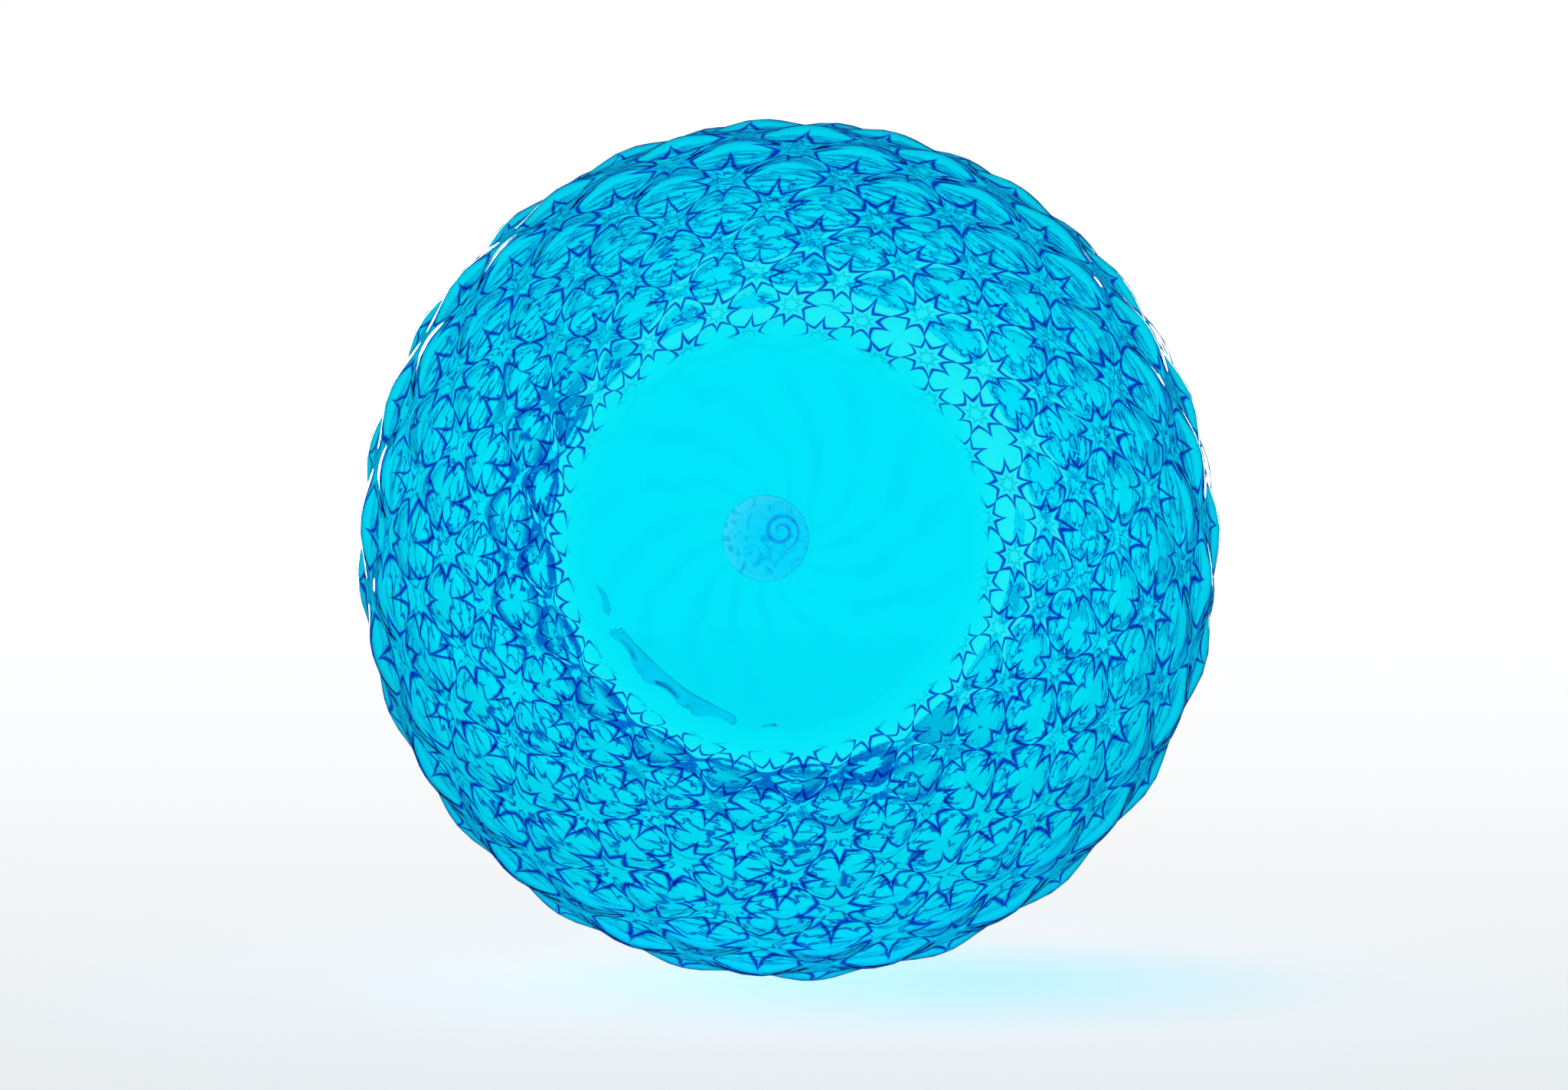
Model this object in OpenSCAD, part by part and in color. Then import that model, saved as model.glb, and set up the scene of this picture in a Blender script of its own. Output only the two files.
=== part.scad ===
// Squat blown-glass bowl with a diamond-optic pattern, standing upright on its base.
// The origin is on the table under the middle of the belly, and +Z points up through the mouth.
// The wall is an even offset of a mid curve: a lower and an upper quarter ellipse that meet
// at the belly. Its base edge and its rim are rounds of half the wall. As blown by hand, the
// base and the mouth lie a little to one side of the belly.

/* [Body] */
// Greatest width across the belly, over the raised diamonds
belly_d = 240; // [180:1:300]
// Height of the widest level above the table
belly_z = 84; // [66:1:110]
// Overall height, from the table to the top of the rim
height = 164; // [145:1:200]
// Width of the base where the wall starts to rise
base_d = 92; // [76:1:120]
// Clear width of the mouth inside the rim
mouth_d = 134; // [110:1:160]
// How far the base and the mouth lie to one side of the belly
lean = 9; // [0:0.5:14]
// Direction in which they lie, in degrees
lean_side = 104; // [0:1:359]

/* [Glass] */
// Thickness of the wall over a raised diamond
wall = 5; // [4:0.1:8]
// Thickness of the floor, which rises over the hollow under the base
floor_t = 6; // [5:0.1:10]
// Width of the flat on the very top of the rim
rim_flat = 0.6; // [0.2:0.1:1.5]

/* [Diamond pattern] */
// Diamonds counted round the belly
cells_round = 20; // [12:1:28]
// Full rows of diamonds between the base and the rim
cell_rows = 8; // [4:1:10]
// Depth of the valleys between the raised diamonds
relief = 2.2; // [0.5:0.1:3]
// Turn of the pattern from one half row up to the next, in degrees
row_turn = 1.6; // [-4:0.1:4]
// Rows over which the pattern fades in above the base
fade_rows = 1; // [0.5:0.5:2]
// Share of the relief that is left where the pattern meets the rim
rim_share = 0.3; // [0:0.1:1]
// Facets from the edge of a diamond to its middle
cell_facets = 2; // [1:1:3]

/* [Hollow under the base] */
// Width of the hollow, inside the ring that stands on the table
kick_d = 58; // [48:1:70]
// Gap between the curl on the seal and the table
table_gap = 1.2; // [0.5:0.1:2]

/* [Pontil seal] */
// Width of the seal of glass that the rod left
seal_d = 22; // [16:0.5:28]
// Thickness of the seal at its middle
seal_t = 1.6; // [1.2:0.1:2]
// Radius round the lower edge of the seal
seal_round = 0.5; // [0.2:0.1:0.6]
// How far the seal lies from the middle of the base
seal_off = 3; // [0:0.5:5]
// Direction in which the seal lies off centre, in degrees
seal_side = 27; // [0:1:359]

/* [Curl on the seal] */
// Width across the curl
curl_d = 11; // [8:0.5:13]
// Width of the thread at its thickest
thread_w = 1.1; // [0.6:0.1:1.4]
// Height that the thread stands off the seal
thread_h = 0.6; // [0.3:0.1:0.9]
// Turns of the thread, from its eye to its tail
thread_turns = 1.75; // [1:0.25:2.5]
// Least distance from the curl to the edge of the seal
curl_margin = 1.2; // [0.5:0.1:2]
// Direction in which the curl sits off centre, in degrees
curl_side = 155; // [0:1:359]

/* [Hidden] */

$fn = 96;
glass_blue = [0.05, 0.72, 0.9, 0.6];
seal_blue = [0.04, 0.6, 0.86, 0.8];
curl_blue = [0.03, 0.5, 0.8, 0.9];

// Mid curve of the wall. Its angle is negative below the belly and positive above it.
half_wall = wall / 2;
mid_r = belly_d / 2 - half_wall;
base_angle = -acos(base_d / 2 / mid_r);
rim_mid_r = mouth_d / 2 + half_wall;
rim_angle = acos(rim_mid_r / mid_r);
low_semi = (belly_z - half_wall) / sin(-base_angle);
high_semi = (height - half_wall - belly_z) / sin(rim_angle);

function semi(a) = a < 0 ? low_semi : high_semi;
function mid_point(a) = [mid_r * cos(a), belly_z + semi(a) * sin(a)];
function unit(v) = v / norm(v);
function outward(a) = unit([semi(a) * cos(a), mid_r * sin(a)]);
function offset_point(a, distance) = mid_point(a) + distance * outward(a);

// A row's height follows the girth where it lies, so that the diamonds keep their shape.
// The table holds how far up the pattern each angle of the mid curve is.
curve_steps = 72;
function curve_angle(i) = base_angle + (rim_angle - base_angle) * i / curve_steps;
function stretch(i) =
    norm(mid_point(curve_angle(i + 1)) - mid_point(curve_angle(i)))
    / mid_point(curve_angle(i + 0.5)).x;
climb = [for (i = 0, sum = 0; i <= curve_steps; sum = sum + stretch(i), i = i + 1) sum];
climb_table = [for (i = [0:curve_steps]) [climb[i] / climb[curve_steps], curve_angle(i)]];

// Grid of the outer skin: columns round the bowl, rows up it.
half_rows = 2 * cell_rows;
columns = 2 * cells_round * cell_facets;
pattern_rows = half_rows * cell_facets;

function smooth(x) = let (t = max(0, min(1, x))) t * t * (3 - 2 * t);
function fade(v) =
    smooth(v / (2 * fade_rows))
    * (1 - (1 - rim_share) * smooth((v - half_rows + 2) / 2));
function pillow(u, v) = sqrt(abs(sin(180 * (u + v / 2)) * sin(180 * (u - v / 2))));

// A profile point placed at its column, at the twist that the pattern has reached. The ring
// it lies on is shifted by the lean, all of it at the base and the mouth and none halfway up.
function toward(side, distance) = [distance * cos(side), distance * sin(side), 0];
function shift(z) = toward(lean_side, lean * pow(cos(180 * z / height), 2));
function placed(p, column, v) =
    toward(360 * column / columns + row_turn * v, p.x) + shift(p.y) + [0, 0, p.y];
function skin_point(row, column) =
    let (
        v = row / cell_facets,
        a = lookup(row / pattern_rows, climb_table),
        sink = relief * fade(v) * (1 - pillow(column / (2 * cell_facets), v))
    )
    placed(offset_point(a, half_wall - sink), column, v);

// The round of the rim, from the end of the skin to the flat on its top.
rim_steps = 3;
rim_start = atan2(outward(rim_angle).y, outward(rim_angle).x);
rim_end = acos(rim_flat / wall);
rim_lift = half_wall * (1 - sin(rim_end));
rim_centre = [rim_mid_r, height - half_wall + rim_lift];
function rim_round(a) = rim_centre + half_wall * [cos(a), sin(a)];

// Hollow under the base: a cap of a sphere, high enough for the seal and its curl.
kick_h = table_gap + thread_h + seal_t;
kick_sphere = (pow(kick_d / 2, 2) + pow(kick_h, 2)) / (2 * kick_h);
seal_z = kick_h - seal_t;
function kick_lift(r) =
    r < kick_d / 2 ? kick_h - kick_sphere + sqrt(pow(kick_sphere, 2) - r * r) : 0;

// Inner outline of the wall, from the flat of the rim down and in over the floor, which
// rises over the hollow with an even thickness.
inner_round_steps = 6;
inner_rows = 18;
floor_rings = 5;
function inner_round(i) =
    rim_round(180 - rim_end + (rim_start + rim_end) * i / inner_round_steps);
function inner_wall(i) =
    let (p = offset_point(rim_angle + (base_angle - rim_angle) * i / inner_rows, -half_wall))
    [p.x, max(p.y, floor_t)];
function on_floor(r) = [r, floor_t + kick_lift(r)];
inner_outline = concat(
    [for (i = [0:inner_round_steps]) inner_round(i)],
    [for (i = [1:inner_rows - 1]) inner_wall(i)],
    [for (i = [0:floor_rings - 1]) on_floor(kick_d / 2 * (1 - i / floor_rings))]
);

seal_place = shift(0) + toward(seal_side, seal_off);

// The curl: a thread along a spiral, thin at its eye and at its tail.
curl_steps = 72;
curl_eye = thread_w;
curl_off = seal_d / 2 - curl_d / 2 - curl_margin;
function curl_angle(t) = 360 * thread_turns * t;
function curl_radius(t) = curl_eye + (curl_d / 2 - thread_w / 2 - curl_eye) * t;
function curl_half_width(t) = thread_w / 2 * (0.25 + 0.75 * sin(180 * t));
function curl_point(t, side) =
    (curl_radius(t) + side * curl_half_width(t)) * [cos(curl_angle(t)), sin(curl_angle(t))];

// The whole wall as one skin of rings: up the outside, over the rim, down the inside and in
// over the floor. A flat closes it at the base and another in the middle of the floor.
module blown_wall() {
    ring = [for (column = [0:columns - 1]) column];
    points = concat(
        [for (c = ring) placed([base_d / 2, 0], c, 0)],
        [for (row = [0:pattern_rows], c = ring) skin_point(row, c)],
        [for (i = [1:rim_steps], c = ring)
            placed(rim_round(rim_start + (rim_end - rim_start) * i / rim_steps), c, half_rows)],
        [for (p = inner_outline, c = ring) placed(p, c, half_rows)]
    );
    rings = len(points) / columns;
    function at(r, c) = r * columns + c % columns;
    // A quad is split along the valley that is nearer to it.
    function to_valley(x) = let (m = x % (2 * cell_facets)) min(m, 2 * cell_facets - m);
    function leans_left(row, c) = to_valley(row + c + 1) < to_valley(c - row + columns * rings);
    function quad(r, c) =
        leans_left(r - 1, c)
            ? [[at(r, c), at(r + 1, c), at(r, c + 1)],
               [at(r, c + 1), at(r + 1, c), at(r + 1, c + 1)]]
            : [[at(r, c), at(r + 1, c), at(r + 1, c + 1)],
               [at(r, c), at(r + 1, c + 1), at(r, c + 1)]];
    polyhedron(
        points = points,
        faces = concat(
            [ring],
            [for (r = [0:rings - 2], c = ring) each quad(r, c)],
            [[for (c = ring) at(rings - 1, columns - 1 - c)]]
        ),
        convexity = 8
    );
}

module kick_ball() {
    translate(shift(0) + [0, 0, kick_h - kick_sphere]) sphere(r = kick_sphere, $fn = 200);
}

module blown_body() {
    color(glass_blue)
        difference() {
            blown_wall();
            kick_ball();
        }
}

module pontil_seal() {
    color(seal_blue)
        intersection() {
            kick_ball();
            translate(seal_place)
                rotate_extrude()
                    polygon(concat(
                        [[0, kick_h + 1], [0, seal_z]],
                        [for (a = [0:15:90])
                            [seal_d / 2 - seal_round * (1 - sin(a)),
                             seal_z + seal_round * (1 - cos(a))]],
                        [[seal_d / 2, kick_h + 1]]
                    ));
        }
}

module seal_curl() {
    color(curl_blue)
        translate(seal_place + toward(curl_side, curl_off) + [0, 0, seal_z - thread_h])
            linear_extrude(height = thread_h)
                polygon(concat(
                    [for (i = [0:curl_steps]) curl_point(i / curl_steps, 1)],
                    [for (i = [0:curl_steps]) curl_point(1 - i / curl_steps, -1)]
                ));
}

blown_body();
pontil_seal();
seal_curl();
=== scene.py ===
"""A squat bowl of aqua glass, blown in a diamond mould, with its pontil seal and glass curl.

The bowl stands upright on z = 0. The main camera is under the base and looks up through the
mouth, so the bowl is seen as it lies on its side on a pale sweep.
"""

import logging
import math
from dataclasses import dataclass
from enum import Enum

import bpy
import numpy as np
from mathutils import Matrix, Vector

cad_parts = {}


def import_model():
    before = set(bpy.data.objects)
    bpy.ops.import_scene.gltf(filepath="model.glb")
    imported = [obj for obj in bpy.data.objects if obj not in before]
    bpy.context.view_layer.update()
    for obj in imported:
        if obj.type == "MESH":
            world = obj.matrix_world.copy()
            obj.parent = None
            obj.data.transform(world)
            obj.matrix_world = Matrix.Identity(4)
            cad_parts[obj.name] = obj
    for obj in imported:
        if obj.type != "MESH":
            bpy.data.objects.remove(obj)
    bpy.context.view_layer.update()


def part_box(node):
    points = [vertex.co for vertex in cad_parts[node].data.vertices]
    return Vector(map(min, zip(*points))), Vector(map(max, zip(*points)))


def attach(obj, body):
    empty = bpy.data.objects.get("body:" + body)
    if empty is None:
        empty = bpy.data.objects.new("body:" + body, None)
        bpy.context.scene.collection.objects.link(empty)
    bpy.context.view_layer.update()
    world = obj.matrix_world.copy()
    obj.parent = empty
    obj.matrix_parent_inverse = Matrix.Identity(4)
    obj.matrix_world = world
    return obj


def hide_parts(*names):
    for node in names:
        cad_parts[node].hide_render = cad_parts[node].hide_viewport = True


LOG = logging.getLogger("bowl")
MM = 0.001
MERGE = 1e-6
DIAMONDS_ROUND = 20
ROOT = "root"


class Skin(Enum):
    """The two faces of the blown wall, as the side of the middle surface that they lie on."""

    OUTER = 1
    INNER = -1


class Split(Enum):
    """How a four-sided face is cut in two, by the operator's own names."""

    RISING = "FIXED"
    FALLING = "FIXED_ALTERNATE"


def smooth(share: np.ndarray) -> np.ndarray:
    """An even ease from 0 to 1.

    Args:
        share: How far along, below 0 and above 1 are held.

    Returns:
        The eased share.
    """
    held = np.clip(share, 0.0, 1.0)
    return held * held * (3.0 - 2.0 * held)


def soft_floor(level: np.ndarray, width: float) -> np.ndarray:
    """Keeps a level from going under 0, with a round turn.

    Args:
        level: The levels in metres.
        width: How wide the turn is, in metres.

    Returns:
        The levels, all above 0.
    """
    return 0.5 * (level + np.sqrt(level * level + width * width))


class Signal:
    """A number that varies over a surface, as one output socket with arithmetic."""

    def __init__(self, graph: "Graph", socket: bpy.types.NodeSocket) -> None:
        """Keeps the graph and the socket."""
        self.graph = graph
        self.socket = socket

    def __add__(self, other: "Signal | float") -> "Signal":
        """This plus other."""
        return self.graph.math("ADD", self, other)

    def __radd__(self, other: float) -> "Signal":
        """Other plus this."""
        return self.graph.math("ADD", other, self)

    def __sub__(self, other: "Signal | float") -> "Signal":
        """This less other."""
        return self.graph.math("SUBTRACT", self, other)

    def __rsub__(self, other: float) -> "Signal":
        """Other less this."""
        return self.graph.math("SUBTRACT", other, self)

    def __mul__(self, other: "Signal | float") -> "Signal":
        """This times other."""
        return self.graph.math("MULTIPLY", self, other)

    def __rmul__(self, other: float) -> "Signal":
        """Other times this."""
        return self.graph.math("MULTIPLY", other, self)

    def __truediv__(self, other: "Signal | float") -> "Signal":
        """This over other."""
        return self.graph.math("DIVIDE", self, other)

    def __rtruediv__(self, other: float) -> "Signal":
        """Other over this."""
        return self.graph.math("DIVIDE", other, self)

    def __abs__(self) -> "Signal":
        """The size of this, without its sign."""
        return self.graph.math("ABSOLUTE", self)

    def eased(self, start: float, end: float) -> "Signal":
        """Turns the range from start to end into an even ease from 0 to 1.

        Args:
            start: Where the result is 0.
            end: Where the result is 1.

        Returns:
            The eased signal.
        """
        node = self.graph.add(
            "ShaderNodeMapRange",
            {"interpolation_type": "SMOOTHSTEP"},
            {"Value": self, "From Min": start, "From Max": end},
        )
        return Signal(self.graph, node.outputs["Result"])


class Graph:
    """The nodes of one material, or of the world."""

    def __init__(self, owner: "bpy.types.Material | bpy.types.World") -> None:
        """Empties the owner's node tree and keeps it.

        Args:
            owner: The material or the world.
        """
        owner.use_nodes = True
        self.tree = owner.node_tree
        self.tree.nodes.clear()

    def add(self, kind: str, settings: dict | None = None, inputs: dict | None = None) -> bpy.types.Node:
        """Adds one node.

        Args:
            kind: The node's type.
            settings: The node's own settings, which are set first.
            inputs: Values, signals or sockets for its inputs, by name or number.

        Returns:
            The new node.
        """
        node = self.tree.nodes.new(kind)
        for name, value in (settings or {}).items():
            setattr(node, name, value)
        for name, value in (inputs or {}).items():
            if isinstance(value, Signal):
                value = value.socket
            if isinstance(value, bpy.types.NodeSocket):
                self.tree.links.new(value, node.inputs[name])
            else:
                node.inputs[name].default_value = value
        return node

    def math(self, operation: str, *values: "Signal | float") -> Signal:
        """Adds one Math node on values.

        Args:
            operation: The node's operation.
            values: Its inputs in order.

        Returns:
            Its result.
        """
        node = self.add("ShaderNodeMath", {"operation": operation}, dict(enumerate(values)))
        return Signal(self, node.outputs[0])

    def blend(self, share: Signal, first: tuple, second: tuple) -> bpy.types.NodeSocket:
        """Mixes two colours.

        Args:
            share: How much of the second.
            first: The colour at 0, or a socket.
            second: The colour at 1, or a socket.

        Returns:
            The mixed colour.
        """
        node = self.add("ShaderNodeMix", {"data_type": "RGBA"}, {0: share, 6: first, 7: second})
        return node.outputs[2]

    def parts(self, source: bpy.types.NodeSocket) -> tuple[Signal, Signal, Signal]:
        """Splits a vector socket.

        Args:
            source: The vector.

        Returns:
            Its three parts.
        """
        node = self.add("ShaderNodeSeparateXYZ", None, {0: source})
        return tuple(Signal(self, out) for out in node.outputs)


def deselect_all() -> None:
    """Leaves object mode with nothing selected."""
    if bpy.context.object is not None and bpy.context.object.mode != "OBJECT":
        bpy.ops.object.mode_set(mode="OBJECT")
    bpy.ops.object.select_all(action="DESELECT")


def placed_grid(name: str, points: np.ndarray) -> tuple[bpy.types.Object, np.ndarray, np.ndarray]:
    """Adds a grid and puts its points where they are asked for.

    Args:
        name: The piece's name.
        points: A place for each point, by row and column.

    Returns:
        The piece, and each vertex's row and column.
    """
    rows, columns = points.shape[0] - 1, points.shape[1] - 1
    deselect_all()
    bpy.ops.mesh.primitive_grid_add(
        x_subdivisions=columns, y_subdivisions=rows, size=1.0, calc_uvs=False
    )
    piece = bpy.context.active_object
    piece.name = piece.data.name = name
    flat = np.empty(len(piece.data.vertices) * 3)
    piece.data.vertices.foreach_get("co", flat)
    flat = flat.reshape(-1, 3)
    column = np.rint((flat[:, 0] + 0.5) * columns).astype(int)
    row = np.rint((flat[:, 1] + 0.5) * rows).astype(int)
    piece.data.vertices.foreach_set("co", points[row, column].ravel())
    return piece, row, column


def close_up(piece: bpy.types.Object) -> None:
    """Merges the seam and the poles of a closed piece, turns its faces outwards and smooths it.

    Args:
        piece: The piece.
    """
    bpy.context.view_layer.objects.active = piece
    bpy.ops.object.mode_set(mode="EDIT")
    bpy.ops.mesh.select_all(action="SELECT")
    bpy.ops.mesh.remove_doubles(threshold=MERGE)
    bpy.ops.mesh.normals_make_consistent(inside=False)
    bpy.ops.object.mode_set(mode="OBJECT")
    bpy.ops.object.shade_smooth()


def rgba(colour: tuple[float, float, float]) -> tuple[float, float, float, float]:
    """The colour with a full alpha."""
    return (*colour, 1.0)


@dataclass(frozen=True)
class AquaGlass:
    """Clear aqua glass: it keeps blue, loses a little green on the way and all of the red."""

    name: str = "aqua_glass"
    density: float = 1500.0
    keeps: tuple[float, float, float] = (0.0, 0.9767, 0.9992)
    ior: float = 1.5

    def colour(self, graph: Graph) -> "bpy.types.NodeSocket | tuple":
        """The tint of the surface itself."""
        return rgba((1.0, 1.0, 1.0))

    def build(self) -> bpy.types.Material:
        """Makes the material.

        Returns:
            The new material.
        """
        material = bpy.data.materials.new(self.name)
        graph = Graph(material)
        shader = graph.add(
            "ShaderNodeBsdfPrincipled",
            None,
            {
                "Base Color": self.colour(graph),
                "Roughness": 0.0,
                "IOR": self.ior,
                "Transmission Weight": 1.0,
            },
        )
        depth = graph.add(
            "ShaderNodeVolumeAbsorption", None, {"Color": rgba(self.keeps), "Density": self.density}
        )
        graph.add(
            "ShaderNodeOutputMaterial",
            None,
            {"Surface": shader.outputs[0], "Volume": depth.outputs[0]},
        )
        return material


@dataclass(frozen=True)
class DiamondGlass(AquaGlass):
    """Aqua glass with painted shade as a tint on both skins, for the dark blue net that refraction in
    the ribs shows.

    Each crossing of two ribs has an eight-armed star of painted shade, drawn as an outline on the
    outer skin and, heavier, on the inner one. To one side, where starry is 1, the stars are single,
    and the net is painted darker near the rim. To the other, each star has a smaller one inside it
    and the inner skin has a leaf of painted shade on one flank of each rib, for the far wall's ribs
    seen through the near one, so the painted shade differs from side to side. Faint blue streaks
    swirl round the base.
    """

    name: str = "aqua_diamond_glass"
    # Colours of the net's painted shade: the first on the inner skin, the second on the outer.
    deep_painted_shade: tuple[float, float, float] = (0.0, 0.01, 0.34)
    fine_painted_shade: tuple[float, float, float] = (0.0, 0.005, 0.38)
    leaf_off: float = 0.13
    leaf_half: float = 0.09
    leaf_least: float = 0.001
    leaf_edge: tuple[float, float] = (0.7, 1.0)
    leaf_share: float = 0.6
    starry_from: tuple[float, float] = (-0.03, 0.05)
    star_power: float = 0.6
    star_arms: tuple[float, float] = (0.49, 0.38)
    star_half: tuple[float, float] = (0.30, 0.38)
    star_edge: tuple[float, float] = (0.25, 1.0)
    slant_shrink: float = 0.06
    nested_star: float = 0.6
    nested_half: float = 0.7
    nested_share: float = 0.6
    rim_rows: tuple[float, float] = (13.2, 14.6)
    rim_edge: tuple[float, float] = (-0.1, 0.2)
    wander: float = 0.26
    inner_wander: float = 0.30
    wander_change: tuple[float, float] = (-0.1, 0.1)
    wander_scale: float = 80.0
    streak: tuple[float, float, float] = (0.10, 0.62, 0.90)
    swirls: float = 14.0
    swirl_wind: float = 40.0
    swirl_stray: float = 5.0
    swirl_edge: tuple[float, float] = (0.3, 1.0)
    swirl_girth: tuple[float, float] = (0.30, 0.46)
    swirl_patch: tuple[float, float] = (0.35, 0.65)
    swirl_share: float = 0.15

    def signed(self, graph: Graph, place: Signal) -> Signal:
        """How far a place is from the nearest rib, with its side.

        Args:
            graph: The material's graph.
            place: The place across the ribs, a whole number on each.

        Returns:
            From -0.5 to 0.5, and 0 on a rib.
        """
        return graph.math("FRACT", place + 0.5) - 0.5

    def leaf(self, graph: Graph, place: Signal, run: Signal) -> Signal:
        """Draws a leaf of painted shade beside each rib of one family, widest halfway between two
        crossings.

        Args:
            graph: The material's graph.
            place: The place across these ribs.
            run: The place along them, a whole number at each crossing.

        Returns:
            1 in a leaf and 0 outside it.
        """
        swell = abs(graph.math("SINE", run * math.pi))
        off = abs(self.signed(graph, place) - self.leaf_off)
        return 1.0 - (off / (swell * self.leaf_half + self.leaf_least)).eased(*self.leaf_edge)

    def stars(self, graph: Graph, across: Signal, along: Signal, starry: Signal) -> Signal:
        """Measures the eight-armed stars of painted shade on the crossings, four arms on ribs and four
        between.

        Args:
            graph: The material's graph.
            across: The place across one family of ribs.
            along: The place across the other.
            starry: 1 where the arms between the ribs are at their full length.

        Returns:
            Under 1 inside a star, 1 on its outline and more outside it.
        """
        first, second = self.signed(graph, across), self.signed(graph, along)
        long_arm, short_arm = self.star_arms

        def reach(one: Signal, other: Signal, arm: float) -> Signal:
            """How far out of a four-armed star with concave sides a place is."""
            ends = [graph.math("POWER", abs(part), self.star_power) for part in (one, other)]
            return (ends[0] + ends[1]) * arm**-self.star_power

        on_ribs = reach(first, second, long_arm)
        between = reach(first + second, first - second, 2.0 * short_arm)
        return graph.math("MINIMUM", on_ribs, between * (1.0 + (1.0 - starry) * self.slant_shrink))

    def outline(self, graph: Graph, reach: Signal, level: float, half: Signal) -> Signal:
        """Draws a line of painted shade where a star's measure is at a level."""
        return 1.0 - (abs(reach - level) / half).eased(*self.star_edge)

    def swirls_at_base(self, graph: Graph, turn: Signal, girth: Signal, cloud: list[Signal]) -> Signal:
        """Draws the streaks that swirl round the base.

        Args:
            graph: The material's graph.
            turn: Twice the number of diamonds round that a place is.
            girth: The local radius against the belly's.
            cloud: Two parts of the noise, for where the streaks show and how far they stray.

        Returns:
            1 in a streak and 0 outside it.
        """
        patch, stray = cloud
        wave = turn * (math.pi / DIAMONDS_ROUND * self.swirls) + girth * self.swirl_wind
        swirl = graph.math("SINE", wave + stray * self.swirl_stray).eased(*self.swirl_edge)
        return swirl * (1.0 - girth.eased(*self.swirl_girth)) * patch.eased(*self.swirl_patch)

    def colour(self, graph: Graph) -> bpy.types.NodeSocket:
        """The tint of the surface: clear, with painted shade for the stars and the leaves, and the
        swirls.

        Args:
            graph: The material's graph.

        Returns:
            The colour.
        """
        cells = graph.add("ShaderNodeUVMap", {"uv_map": "diamonds"})
        bands = graph.add("ShaderNodeUVMap", {"uv_map": "bands"})
        object_place = graph.add("ShaderNodeTexCoord").outputs["Object"]
        cloud = graph.add(
            "ShaderNodeTexNoise",
            {"noise_dimensions": "3D"},
            {"Vector": object_place, "Scale": self.wander_scale},
        )
        shift_a, shift_b, weight = graph.parts(cloud.outputs["Color"])
        side, girth, _ = graph.parts(bands.outputs[0])
        outer_share = side.eased(*self.wander_change)
        stray = (1.0 - outer_share) * (self.inner_wander - self.wander) + self.wander
        across, along, _ = graph.parts(cells.outputs[0])
        across = across + (shift_a - 0.5) * stray
        along = along + (shift_b - 0.5) * stray
        aside, upward, _ = graph.parts(object_place)
        # The painted shade is laid out differently on the two sides of this line across the bowl.
        starry = (aside - upward).eased(*self.starry_from)
        outside, inside = graph.math("MAXIMUM", side, 0.0), graph.math("MAXIMUM", side * -1.0, 0.0)
        front = 1.0 - Signal(graph, graph.add("ShaderNodeNewGeometry").outputs["Backfacing"])
        reach = self.stars(graph, across, along, starry)
        outer_half, inner_half = (weight * half for half in self.star_half)
        # Painted shade: star outlines on the outer skin, for the dark lines that refraction in the ribs
        # shows.
        fine_painted_shade = self.outline(graph, reach, 1.0, outer_half)
        nested = self.outline(graph, reach, self.nested_star, outer_half * self.nested_half)
        nested = nested * (1.0 - starry) * self.nested_share
        fine_painted_shade = graph.math("MAXIMUM", fine_painted_shade, nested) * outside * front
        # Painted shade on the inner skin: leaves, a darker band near the rim and heavier star outlines,
        # for the far wall's ribs seen through the near one.
        leaf_painted_shade = graph.math("MAXIMUM", self.leaf(graph, across, along), self.leaf(graph, along, across))
        rim_painted_shade = (reach - 1.0).eased(*self.rim_edge) * (across - along).eased(*self.rim_rows)
        inner_shade_share = graph.math("MAXIMUM", leaf_painted_shade * (1.0 - starry) * self.leaf_share, rim_painted_shade * starry)
        inner_shade_share = graph.math("MAXIMUM", inner_shade_share, self.outline(graph, reach, 1.0, inner_half))
        inner_shade_share = inner_shade_share * inside * front
        swirl = self.swirls_at_base(graph, across + along, girth, [shift_a, shift_b])
        base = graph.blend(swirl * self.swirl_share, rgba((1.0, 1.0, 1.0)), rgba(self.streak))
        return graph.blend(inner_shade_share, graph.blend(fine_painted_shade, base, rgba(self.fine_painted_shade)), rgba(self.deep_painted_shade))


@dataclass
class Ring:
    """One turn of points round the bowl, with the diamond place of each point."""

    radius: np.ndarray
    level: np.ndarray
    turn: np.ndarray
    across: np.ndarray
    along: np.ndarray
    lines: np.ndarray


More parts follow.
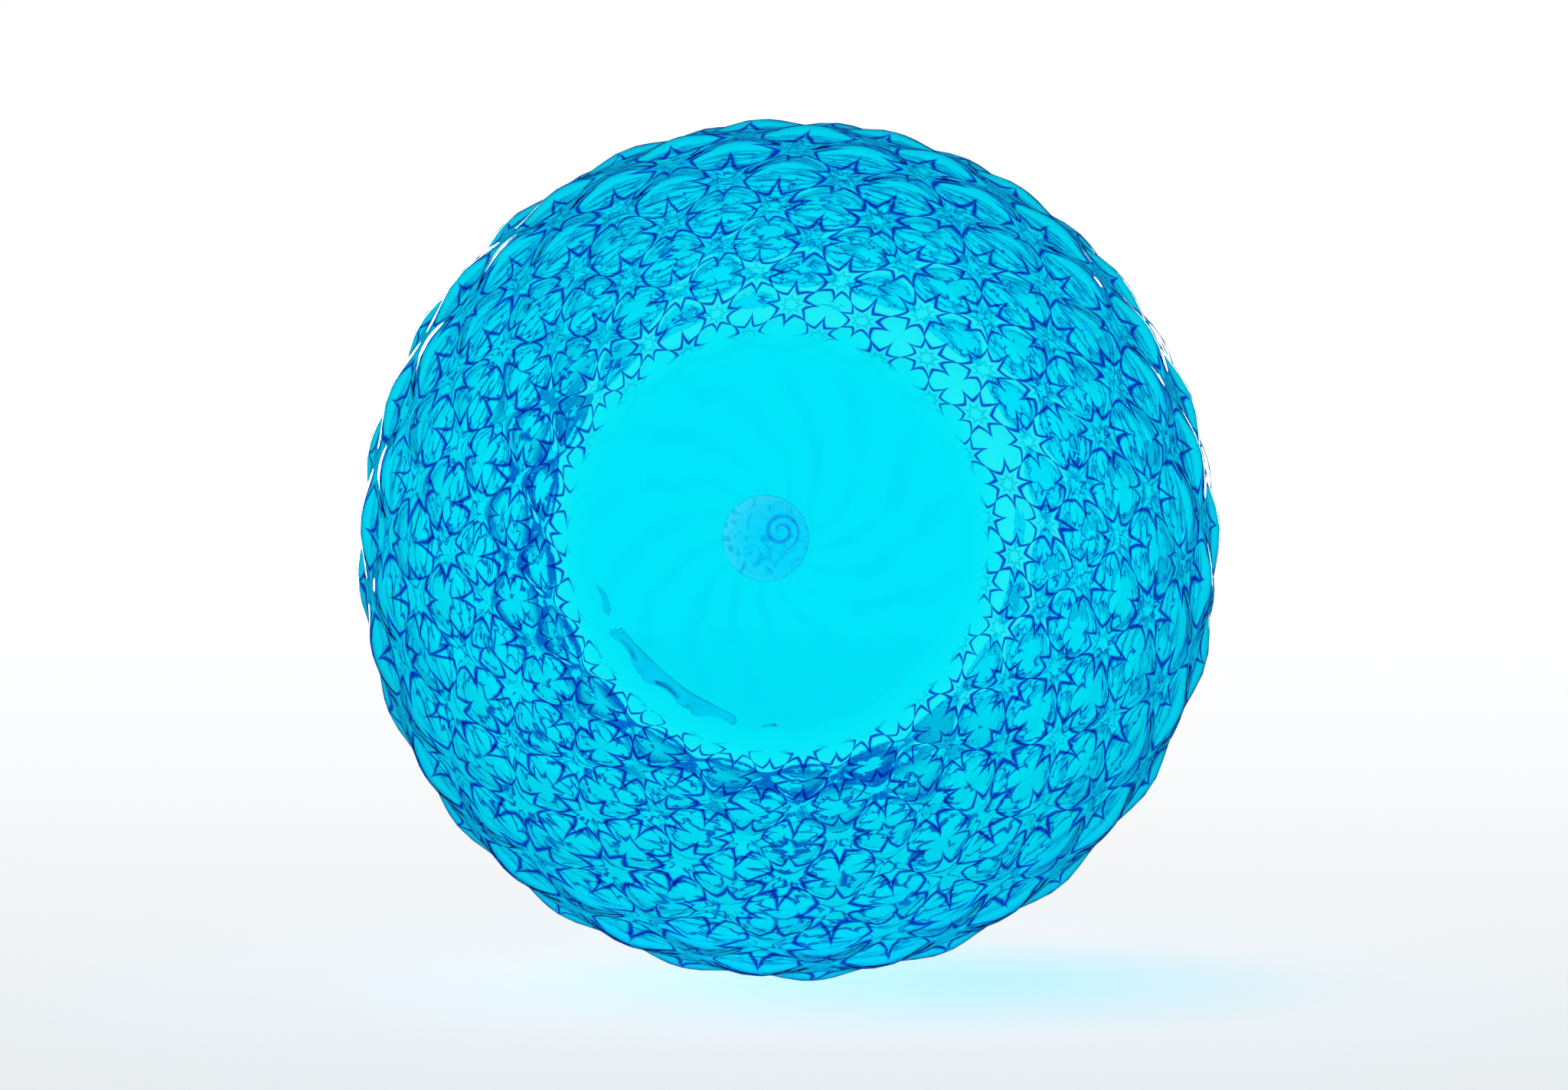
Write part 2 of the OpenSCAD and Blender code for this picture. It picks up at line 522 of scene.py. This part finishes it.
@dataclass
class BlownBody:
    """The blown wall: a squat ball of diamonds with a smooth base, a hollow under it and a mouth."""

    belly_radius: float
    height: float
    wall: float = 5.0 * MM
    belly_level: float = 84.0 * MM
    base_radius: float = 46.0 * MM
    mouth_radius: float = 67.0 * MM
    floor: float = 5.3 * MM
    base_turn: float = 2.5 * MM
    base_height: float = 20.0 * MM
    hollow_radius: float = 29.0 * MM
    hollow_height: float = 3.4 * MM
    lean: float = 9.0 * MM
    lean_side: float = math.radians(104.0)
    diamonds_round: int = DIAMONDS_ROUND
    half_rows: int = 16
    turn_per_half_row: float = math.radians(1.6)
    points_per_cell: int = 11
    crowding: float = 0.75
    fade_rows: float = 2.0
    outer_relief: float = 2.0 * MM
    inner_relief: float = 2.0 * MM
    outer_round: float = 0.2
    inner_round: float = 0.2
    cell_thickness: float = 2.6 * MM
    rim_share: float = 0.3
    lines_from: tuple[float, float] = (0.9, 1.1)
    lines_to: float = 0.1
    base_rings: int = 28
    rim_rings: int = 9
    climb_samples: int = 1201
    seat_samples: int = 100
    contact_samples: int = 200

    def __post_init__(self) -> None:
        """Works out the middle surface and the even climb of the diamonds up it."""
        half = self.wall / 2
        self.half = half
        self.mid_radius = self.belly_radius - half
        self.base_angle = -math.acos(self.base_radius / self.mid_radius)
        self.rim_mid = self.mouth_radius + half
        self.rim_angle = math.acos(self.rim_mid / self.mid_radius)
        self.low_semi = (self.belly_level - half) / math.sin(-self.base_angle)
        self.high_semi = (self.height - half - self.belly_level) / math.sin(self.rim_angle)
        self.steps = np.linspace(self.base_angle, self.rim_angle, self.climb_samples)
        radius, level = self.middle(self.steps)
        length = np.hypot(np.diff(radius), np.diff(level))
        climb = np.concatenate([[0.0], np.cumsum(2.0 * length / (radius[1:] + radius[:-1]))])
        self.climb = climb / climb[-1] * self.half_rows

    def middle(self, angle: np.ndarray) -> tuple[np.ndarray, np.ndarray]:
        """The middle surface's radius and level at an angle from the belly."""
        semi = np.where(angle < 0, self.low_semi, self.high_semi)
        return self.mid_radius * np.cos(angle), self.belly_level + semi * np.sin(angle)

    def outward(self, angle: np.ndarray) -> tuple[np.ndarray, np.ndarray]:
        """The middle surface's outward normal at an angle from the belly.

        Args:
            angle: The angle.

        Returns:
            Its part along the radius and its part up.
        """
        semi = np.where(angle < 0, self.low_semi, self.high_semi)
        across, up = semi * np.cos(angle), self.mid_radius * np.sin(angle)
        length = np.hypot(across, up)
        return across / length, up / length

    def crowd(self, place: np.ndarray) -> np.ndarray:
        """Draws evenly spaced places towards the whole numbers, where the ribs are."""
        turn = 2.0 * np.pi * place
        return place - self.crowding * np.sin(turn) / (2.0 * np.pi)

    def pillow(self, across: np.ndarray, along: np.ndarray, roundness: float) -> np.ndarray:
        """The rise of a cell: 1 in its middle and 0 on the ribs.

        Args:
            across: Place across one family of ribs.
            along: Place across the other.
            roundness: How round the ribs are.

        Returns:
            The rise.
        """
        rise = np.abs(np.sin(np.pi * across) * np.sin(np.pi * along))
        top = math.hypot(1.0, roundness) - roundness
        return (np.hypot(rise, roundness) - roundness) / top

    def offset(self, skin: Skin, across: np.ndarray, along: np.ndarray, net: np.ndarray) -> np.ndarray:
        """How far a skin lies outside the middle surface.

        Args:
            skin: Which skin.
            across: Place across one family of ribs.
            along: Place across the other.
            net: The pattern's local strength.

        Returns:
            The offset in metres.
        """
        if skin is Skin.OUTER:
            dip = 1.0 - self.pillow(across, along, self.outer_round)
            return self.half - self.outer_relief * net * dip
        dip = self.inner_relief * (1.0 - self.pillow(across, along, self.inner_round))
        full = self.half - self.cell_thickness - dip
        return (1.0 - net) * -self.half + net * full

    def hollow(self, radius: np.ndarray) -> np.ndarray:
        """The rise of the hollow under the base."""
        share = np.clip(radius / self.hollow_radius, 0.0, 1.0)
        return self.hollow_height * (1.0 - share * share) ** 2

    def settle(self, skin: Skin, radius: np.ndarray, level: np.ndarray) -> np.ndarray:
        """Turns the lowest part of the wall smoothly into the base.

        Args:
            skin: Which skin.
            radius: The radius at each point.
            level: The level at each point on the plain curve.

        Returns:
            The level with the base and its hollow.
        """
        rest = 0.0 if skin is Skin.OUTER else self.floor
        drop = self.contact * (1.0 - smooth(level / self.base_height))
        return rest + soft_floor(level - rest, self.base_turn) + self.hollow(radius) - drop

    def base_level(self, place: Vector) -> float:
        """The level of the base's outside over a place on the table.

        Args:
            place: The place.

        Returns:
            The level in metres.
        """
        aside = Vector((math.cos(self.lean_side), math.sin(self.lean_side), 0.0)) * self.lean
        angle = np.linspace(-np.pi / 2, self.base_angle, self.seat_samples)
        radius, level = self.middle(angle)
        out, up = self.outward(angle)
        radius, level = radius + self.half * out, level + self.half * up
        level = self.settle(Skin.OUTER, radius, level)
        return float(np.interp((place - aside).xy.length, radius, level))

    @property
    def contact(self) -> float:
        """How far the plain base would stand above the table.

        Returns:
            The gap in metres.
        """
        angle = np.linspace(-np.pi / 2, self.base_angle, self.contact_samples)
        radius, level = self.middle(angle)
        across, up = self.outward(angle)
        radius, level = radius + self.half * across, level + self.half * up
        return float(np.min(soft_floor(level, self.base_turn) + self.hollow(radius)))

    def wall_ring(self, skin: Skin, step: int) -> Ring:
        """One row of the pattern.

        Args:
            skin: Which skin.
            step: How many mesh rows up from the base.

        Returns:
            The row's points.
        """
        column = np.arange(self.diamonds_round * self.points_per_cell + 1)
        across = self.crowd((column + step) / self.points_per_cell)
        along = self.crowd(column / self.points_per_cell)
        row = across - along
        angle = np.interp(row, self.climb, self.steps)
        low, high = smooth(row / self.fade_rows), smooth((row - self.half_rows) / self.fade_rows + 1.0)
        net = low * (1.0 - (1.0 - self.rim_share) * high)
        off = self.offset(skin, across, along, net)
        radius, level = self.middle(angle)
        out, up = self.outward(angle)
        radius, level = radius + off * out, level + off * up
        turn = np.pi * (across + along) / self.diamonds_round + self.turn_per_half_row * row
        first, last = self.lines_from
        top = self.half_rows - self.lines_to
        lines = smooth((row - first) / (last - first)) * (1.0 - smooth((row - top) / self.lines_to))
        return Ring(radius, self.settle(skin, radius, level), turn, across, along, lines)

    def base_ring(self, skin: Skin, share: float) -> Ring:
        """One ring of the smooth base.

        Args:
            skin: Which skin.
            share: 0 in the middle of the base and 1 where the pattern starts.

        Returns:
            The ring's points.
        """
        edge = self.wall_ring(skin, 0)
        angle = np.full_like(edge.turn, -np.pi / 2 + share * (self.base_angle + np.pi / 2))
        radius, level = self.middle(angle)
        out, up = self.outward(angle)
        radius, level = radius + skin.value * self.half * out, level + skin.value * self.half * up
        radius = radius * (share > 0.0)
        none = np.zeros_like(radius)
        return Ring(radius, self.settle(skin, radius, level), edge.turn, edge.across, edge.along, none)

    def rim_ring(self, share: float) -> Ring:
        """One ring of the round rim.

        Args:
            share: 0 where the outer skin ends and 1 where the inner one starts.

        Returns:
            The ring's points.
        """
        step = self.half_rows * self.points_per_cell
        start, end = self.wall_ring(Skin.OUTER, step), self.wall_ring(Skin.INNER, step)
        out, up = self.outward(np.array(self.rim_angle))
        lean = math.atan2(float(up), float(out)) + share * np.pi
        middle_r, middle_z = (start.radius + end.radius) / 2, (start.level + end.level) / 2
        reach = np.hypot(start.radius - end.radius, start.level - end.level) / 2
        return Ring(
            middle_r + reach * math.cos(lean),
            middle_z + reach * math.sin(lean),
            start.turn,
            start.across,
            start.along,
            start.lines,
        )

    def rings(self) -> list[Ring]:
        """Lists the rings in order.

        Returns:
            The rings from the middle of the base, over the rim, to the middle of the floor.
        """
        count = self.half_rows * self.points_per_cell
        shares = [step / self.base_rings for step in range(self.base_rings)]
        rows = [self.base_ring(Skin.OUTER, share) for share in shares]
        rows += [self.wall_ring(Skin.OUTER, step) for step in range(count + 1)]
        rows += [self.rim_ring(step / self.rim_rings) for step in range(1, self.rim_rings)]
        rows += [self.wall_ring(Skin.INNER, step) for step in reversed(range(count + 1))]
        rows += [self.base_ring(Skin.INNER, share) for share in reversed(shares)]
        return rows

    def shift(self, level: np.ndarray) -> np.ndarray:
        """How far the base and the mouth lie to one side of the belly, at a level."""
        return self.lean * np.cos(np.pi * np.clip(level / self.height, 0.0, 1.0)) ** 2

    def points(self, rings: list[Ring]) -> np.ndarray:
        """The rings' points in space.

        Args:
            rings: The rings in order.

        Returns:
            A place for each point, by ring and place round it.
        """
        radius = np.array([ring.radius for ring in rings])
        level = np.array([ring.level for ring in rings])
        turn = np.array([ring.turn for ring in rings])
        aside = self.shift(level)
        return np.stack(
            [
                radius * np.cos(turn) + aside * math.cos(self.lean_side),
                radius * np.sin(turn) + aside * math.sin(self.lean_side),
                level,
            ],
            axis=-1,
        )

    def build(self, glass: DiamondGlass) -> bpy.types.Object:
        """Models the wall as one closed mesh.

        Args:
            glass: The finish.

        Returns:
            The finished piece.
        """
        rings = self.rings()
        piece, row, column = placed_grid("blown_glass_wall", self.points(rings))
        self.map_pattern(piece.data, rings, row, column)
        middle = len(rings) // 2
        self.cut_faces(piece, row < middle, Split.FALLING)
        self.cut_faces(piece, row >= middle, Split.RISING)
        close_up(piece)
        piece.data.materials.append(glass.build())
        return piece

    def map_pattern(
        self, mesh: bpy.types.Mesh, rings: list[Ring], row: np.ndarray, column: np.ndarray
    ) -> None:
        """Stores each corner's place in the pattern as two UV maps.

        Args:
            mesh: The mesh.
            rings: The rings in order.
            row: The ring of each vertex.
            column: The place of each vertex round its ring.
        """
        corner = np.empty(len(mesh.loops), dtype=np.int64)
        mesh.loops.foreach_get("vertex_index", corner)
        across = np.array([ring.across for ring in rings])
        along = np.array([ring.along for ring in rings])
        inner = np.arange(len(rings)) >= len(rings) // 2
        lines = np.array([ring.lines for ring in rings]) * np.where(inner, -1.0, 1.0)[:, None]
        girth = np.array([ring.radius for ring in rings]) / self.belly_radius
        for name, first, second in (("diamonds", across, along), ("bands", lines, girth)):
            layer = mesh.uv_layers.new(name=name)
            values = np.stack([first[row, column], second[row, column]], axis=-1)
            layer.data.foreach_set("uv", values[corner].ravel())

    def cut_faces(self, piece: bpy.types.Object, chosen: np.ndarray, split: Split) -> None:
        """Cuts the chosen faces in two along the ribs.

        Args:
            piece: The wall.
            chosen: Which vertices' faces to cut.
            split: Which way to cut them.
        """
        mesh = piece.data
        bpy.ops.object.mode_set(mode="EDIT")
        bpy.ops.mesh.select_mode(type="FACE")
        bpy.ops.mesh.select_all(action="DESELECT")
        bpy.ops.object.mode_set(mode="OBJECT")
        mesh.polygons.foreach_set("select", [bool(chosen[p.vertices[0]]) for p in mesh.polygons])
        bpy.ops.object.mode_set(mode="EDIT")
        bpy.ops.mesh.quads_convert_to_tris(quad_method=split.value, ngon_method="BEAUTY")
        bpy.ops.mesh.select_all(action="DESELECT")
        bpy.ops.object.mode_set(mode="OBJECT")


@dataclass(frozen=True)
class SealGlass(AquaGlass):
    """The same glass, streaked where it was pressed and torn off."""

    name: str = "aqua_seal_glass"
    plain: tuple[float, float, float] = (0.8, 0.9, 1.0)
    streak: tuple[float, float, float] = (0.05, 0.45, 0.85)
    streak_edge: tuple[float, float] = (0.5, 0.68)
    streak_share: float = 0.6
    cloud_scale: float = 260.0
    cloud_detail: float = 4.0
    cloud_twist: float = 2.0

    def colour(self, graph: Graph) -> bpy.types.NodeSocket:
        """The tint of the surface: plain, with cloudy streaks.

        Args:
            graph: The material's graph.

        Returns:
            The colour.
        """
        place = graph.add("ShaderNodeTexCoord").outputs["Object"]
        cloud = graph.add(
            "ShaderNodeTexNoise",
            {"noise_dimensions": "3D"},
            {
                "Vector": place,
                "Scale": self.cloud_scale,
                "Detail": self.cloud_detail,
                "Distortion": self.cloud_twist,
            },
        )
        share = Signal(graph, cloud.outputs[0]).eased(*self.streak_edge) * self.streak_share
        return graph.blend(share, rgba(self.plain), rgba(self.streak))


@dataclass
class PontilSeal:
    """The round seal that is left where the iron held the bowl, pressed up into the hollow."""

    body: BlownBody
    radius: float = 11.0 * MM
    under: float = 1.8 * MM
    gap: float = 0.04 * MM
    off: float = 3.0 * MM
    off_side: float = math.radians(27.0)
    squareness: float = 0.4
    rings: int = 24
    segments: int = 72
    lip: float = 0.25 * MM
    dish_power: int = 4

    @property
    def centre(self) -> Vector:
        """The middle of the seal, seen from below.

        Returns:
            Its place, at the level of the table.
        """
        side = self.body.lean_side
        lean = Vector((math.cos(side), math.sin(side), 0.0)) * self.body.lean
        return lean + Vector((math.cos(self.off_side), math.sin(self.off_side), 0.0)) * self.off

    def build(self, glass: AquaGlass) -> bpy.types.Object:
        """Models the seal from a ball pressed flat.

        Args:
            glass: The finish.

        Returns:
            The finished piece.
        """
        deselect_all()
        bpy.ops.mesh.primitive_uv_sphere_add(segments=self.segments, ring_count=self.rings, radius=1.0)
        piece = bpy.context.active_object
        piece.name = piece.data.name = "pontil_glass_seal"
        for vertex in piece.data.vertices:
            out = math.hypot(vertex.co.x, vertex.co.y)
            turn = math.atan2(vertex.co.y, vertex.co.x)
            wide = self.radius * out**self.squareness
            place = self.centre + Vector((math.cos(turn), math.sin(turn), 0.0)) * wide
            top = self.body.base_level(place) - self.gap
            half = (top - self.under) / 2
            rise = math.copysign(abs(vertex.co.z) ** self.squareness, vertex.co.z)
            dish = self.lip * (1.0 - (wide / self.radius) ** self.dish_power) * (rise < 0.0)
            vertex.co = Vector((place.x, place.y, self.under + half + half * rise + dish))
        close_up(piece)
        piece.data.materials.append(glass.build())
        return piece


@dataclass
class SealCurl:
    """The thread of glass that fell back on the seal in a curl."""

    seal: PontilSeal
    wide: float = 11.0 * MM
    thread: float = 1.1 * MM
    drop: float = 0.6 * MM
    turns: float = 1.75
    margin: float = 1.2 * MM
    side: float = math.radians(155.0)
    rows: int = 120
    around: int = 12
    sunk: float = 0.15 * MM
    taper: float = 0.5

    def build(self, glass: AquaGlass) -> bpy.types.Object:
        """Models the thread as a tube that thins to both ends.

        Args:
            glass: The finish.

        Returns:
            The finished piece.
        """
        off = self.seal.radius - self.wide / 2 - self.margin
        centre = self.seal.centre + Vector((math.cos(self.side), math.sin(self.side), 0.0)) * off
        share = np.linspace(0.0, 1.0, self.rows + 1)[:, None]
        around = np.linspace(0.0, 2.0 * np.pi, self.around + 1)[None, :]
        turn = 2.0 * np.pi * self.turns * share
        eye, edge = self.thread, (self.wide - self.thread) / 2
        reach = eye + (edge - eye) * share
        swell = np.sin(np.pi * share) ** self.taper
        swell[[0, -1]] = 0.0
        wide = reach + self.thread / 2 * swell * np.cos(around)
        low = self.seal.under + self.sunk
        level = low - (self.drop + self.sunk) / 2 * (1.0 - swell * np.sin(around))
        points = np.stack(
            [centre.x + wide * np.cos(turn), centre.y + wide * np.sin(turn), level], axis=-1
        )
        piece, _, _ = placed_grid("seal_glass_curl", points)
        close_up(piece)
        piece.data.materials.append(glass.build())
        return piece


@dataclass(frozen=True)
class Softbox:
    """A lit panel, placed from the middle of the belly along the camera's own directions."""

    name: str
    aside: float
    above: float
    ahead: float
    size: tuple[float, float]
    glow: float


@dataclass
class Studio:
    """The camera, the pale sweep and table, the world and the softboxes."""

    centre: Vector
    belly_radius: float
    belly_share: float = 0.2752
    shift: tuple[float, float] = (-0.0019, 0.0046)
    lens: float = 85.0
    sensor: float = 36.0
    tilt: tuple[float, float] = (0.06, 0.08)
    dim: float = 0.25
    bright: float = 0.98
    dim_tone: tuple[float, float, float] = (1.0, 1.1, 1.8)
    dim_to: float = -0.6
    bright_from: float = 0.2
    scattered: float = 0.02
    mirrored: float = 0.16
    mirror_tone: tuple[float, float, float] = (0.05, 0.25, 1.0)
    far_glow: float = 0.93
    glow_reach: float = 1.0
    near_tone: tuple[float, float, float] = (0.97, 0.99, 1.0)
    # Painted light: tone, share, reach and sideways offset of a cyan pool painted on the planes beside
    # the belly.
    painted_glow_tone: tuple[float, float, float] = (0.25, 0.85, 1.0)
    painted_glow_share: float = 0.5
    painted_glow_reach: tuple[float, float] = (0.0, 0.14)
    painted_glow_aside: float = 0.045
    paint: tuple[float, float, float] = (0.9, 0.9, 0.92)
    sweep_ahead: tuple[float, float] = (-2.5, 4.0)
    sweep_aside: float = 4.0
    sweep_glow: float = 0.82
    table_reach: float = 6.0
    table_glow: float = 0.80
    softboxes: tuple[Softbox, ...] = (
        Softbox("softbox_right", aside=0.46, above=0.15, ahead=1.0, size=(0.40, 0.09), glow=4.0),
        Softbox("softbox_left", aside=-0.42, above=0.17, ahead=1.0, size=(0.46, 0.18), glow=4.0),
    )

    def __post_init__(self) -> None:
        """Works out the camera's directions and the middle of the painted glow."""
        right, up = Vector((-1.0, 0.0, 0.0)), Vector((0.0, 1.0, 0.0))
        self.ahead = (Vector((0.0, 0.0, 1.0)) - right * self.tilt[0] - up * self.tilt[1]).normalized()
        self.right = self.ahead.cross(up).normalized()
        self.contact = self.centre - up * self.belly_radius + self.right * self.painted_glow_aside
        self.up = self.right.cross(self.ahead)

    def add_camera(self) -> None:
        """Sets the camera at its distance under the base."""
        distance = self.lens / self.sensor * self.belly_radius / self.belly_share
        turn = Matrix((self.right, self.up, -self.ahead)).transposed()
        bpy.ops.object.camera_add(location=self.centre - self.ahead * distance, rotation=turn.to_euler())
        camera = bpy.context.active_object
        camera.data.lens = self.lens
        camera.data.sensor_width = self.sensor
        camera.data.shift_x, camera.data.shift_y = self.shift
        bpy.context.scene.camera = camera

    def add_world(self) -> None:
        """Makes a bright field ahead of the camera that falls off to a dim room behind it.

        Rays that pass through the glass see this field. The camera sees it at full strength, a
        mirror reflection sees it dim and blue, and it hardly lights the stage.
        """
        world = bpy.data.worlds.new("bright_field")
        bpy.context.scene.world = world
        graph = Graph(world)
        place = graph.add("ShaderNodeTexCoord")
        ahead = graph.add(
            "ShaderNodeVectorMath",
            {"operation": "DOT_PRODUCT"},
            {0: place.outputs["Generated"], 1: self.ahead},
        )
        share = Signal(graph, ahead.outputs["Value"]).eased(self.dim_to, self.bright_from)
        path = graph.add("ShaderNodeLightPath")
        seen = Signal(graph, path.outputs["Is Camera Ray"])
        mirror = Signal(graph, path.outputs["Is Reflection Ray"])
        scattered = Signal(graph, path.outputs["Is Diffuse Ray"])
        field = share * (self.bright - self.dim) + self.dim
        returned = scattered * (self.scattered - self.mirrored) + self.mirrored
        light = field + mirror * (returned - field) + seen * (1.0 - field)
        tone = graph.blend(share, rgba(self.dim_tone), rgba((1.0, 1.0, 1.0)))
        tone = graph.blend(mirror * (1.0 - scattered), tone, rgba(self.mirror_tone))
        back = graph.add("ShaderNodeBackground", None, {"Color": tone, "Strength": light})
        graph.add("ShaderNodeOutputWorld", None, {"Surface": back.outputs[0]})

    def add_plane(self, name: str, corners: list[Vector], glow: float) -> bpy.types.Object:
        """Adds one pale plane that shows from its front only, with a glow painted on it.

        Args:
            name: Its name.
            corners: Its four corners, anticlockwise from the front.
            glow: Its own light.

        Returns:
            The plane.
        """
        deselect_all()
        bpy.ops.mesh.primitive_plane_add(size=1.0)
        plane = bpy.context.active_object
        plane.name = name
        for vertex, corner in zip(plane.data.vertices, (corners[0], corners[1], corners[3], corners[2])):
            vertex.co = corner
        material = bpy.data.materials.new(name)
        graph = Graph(material)
        face = graph.add("ShaderNodeNewGeometry")
        place = graph.add("ShaderNodeTexCoord").outputs["Object"]
        _, _, level = graph.parts(place)
        near = self.glow_reach / (level + self.glow_reach)
        seen = Signal(graph, graph.add("ShaderNodeLightPath").outputs["Is Camera Ray"])
        far = seen * (1.0 - self.far_glow) + self.far_glow
        light = far + near * (glow - far)
        lit = graph.blend(near, rgba((1.0, 1.0, 1.0)), rgba(self.near_tone))
        # Painted light: a cyan pool beside the belly, where light through the glass would fall, painted
        # into the emission.
        from_contact = graph.add(
            "ShaderNodeVectorMath", {"operation": "DISTANCE"}, {0: place, 1: self.contact}
        )
        painted_glow = 1.0 - Signal(graph, from_contact.outputs["Value"]).eased(*self.painted_glow_reach)
        lit = graph.blend(painted_glow * self.painted_glow_share, lit, rgba(self.painted_glow_tone))
        pale = graph.add(
            "ShaderNodeBsdfPrincipled",
            None,
            {
                "Base Color": rgba(self.paint),
                "Roughness": 1.0,
                "Specular IOR Level": 0.0,
                "Emission Color": lit,
                "Emission Strength": light,
            },
        )
        clear = graph.add("ShaderNodeBsdfTransparent")
        mix = graph.add(
            "ShaderNodeMixShader",
            None,
            {0: face.outputs["Backfacing"], 1: pale.outputs[0], 2: clear.outputs[0]},
        )
        graph.add("ShaderNodeOutputMaterial", None, {"Surface": mix.outputs[0]})
        plane.data.materials.append(material)
        plane.visible_glossy = False
        return plane

    def add_softbox(self, box: Softbox) -> None:
        """Adds a lit panel that shows only as a gloss on the glass.

        Args:
            box: Its name, place, size and glow.
        """
        deselect_all()
        bpy.ops.mesh.primitive_plane_add(size=1.0)
        panel = bpy.context.active_object
        panel.name = box.name
        place = self.right * box.aside + self.up * box.above + self.ahead * box.ahead
        turn = place.to_track_quat("Z", "Y").to_matrix()
        width, height = box.size
        for vertex in panel.data.vertices:
            flat = Vector((vertex.co.x * width, vertex.co.y * height, 0.0))
            vertex.co = self.centre + place + turn @ flat
        material = bpy.data.materials.new(box.name)
        graph = Graph(material)
        lamp = graph.add("ShaderNodeEmission", None, {"Strength": box.glow})
        graph.add("ShaderNodeOutputMaterial", None, {"Surface": lamp.outputs[0]})
        panel.data.materials.append(material)
        panel.visible_camera = panel.visible_diffuse = False
        panel.visible_transmission = panel.visible_shadow = False

    def add_stage(self) -> None:
        """Adds the sweep beside the belly, the table under the base and the softboxes."""
        side = self.centre - self.up * self.belly_radius
        near, far = (self.ahead * length for length in self.sweep_ahead)
        aside = self.right * self.sweep_aside
        corners = [side + aside + near, side + aside + far, side - aside + far, side - aside + near]
        self.add_plane("pale_sweep", corners, self.sweep_glow)
        signs = ((-1.0, -1.0), (1.0, -1.0), (1.0, 1.0), (-1.0, 1.0))
        table = [Vector((x, y, 0.0)) * self.table_reach for x, y in signs]
        self.add_plane("pale_table", table, self.table_glow).visible_diffuse = False
        for box in self.softboxes:
            self.add_softbox(box)


def set_up_tracing() -> None:
    """Lets light pass the many walls of the glass."""
    scene = bpy.context.scene
    scene.view_settings.view_transform = "Standard"
    cycles = scene.cycles
    cycles.max_bounces = 32
    cycles.transmission_bounces = 32
    cycles.glossy_bounces = 16
    cycles.transparent_max_bounces = 16
    cycles.diffuse_bounces = 3
    cycles.sample_clamp_indirect = 10.0
    cycles.use_adaptive_sampling = False
    cycles.use_denoising = True


def report(piece: bpy.types.Object) -> None:
    """Logs a piece's name and triangle count."""
    count = sum(len(polygon.vertices) - 2 for polygon in piece.data.polygons)
    LOG.info("%s: %d triangles", piece.name, count)


def main() -> None:
    """Builds the bowl's pieces in order, then the studio."""
    logging.basicConfig(level=logging.INFO, format="%(name)s: %(message)s")
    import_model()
    body_low, body_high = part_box("blown_body")
    belly_radius = (body_high.x - body_low.x) / 2
    body = BlownBody(belly_radius=belly_radius, height=body_high.z)
    wall = body.build(DiamondGlass())
    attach(wall, ROOT)
    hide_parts("blown_body")
    report(wall)
    seal = PontilSeal(body)
    disc = seal.build(SealGlass())
    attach(disc, ROOT)
    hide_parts("pontil_seal")
    report(disc)
    curl = SealCurl(seal).build(SealGlass(name="aqua_curl_glass", plain=(0.3, 0.66, 0.95)))
    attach(curl, ROOT)
    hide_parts("seal_curl")
    report(curl)
    studio = Studio(centre=Vector((0.0, 0.0, body.belly_level)), belly_radius=belly_radius)
    studio.add_camera()
    studio.add_world()
    studio.add_stage()
    set_up_tracing()


if __name__ == "__main__":
    main()
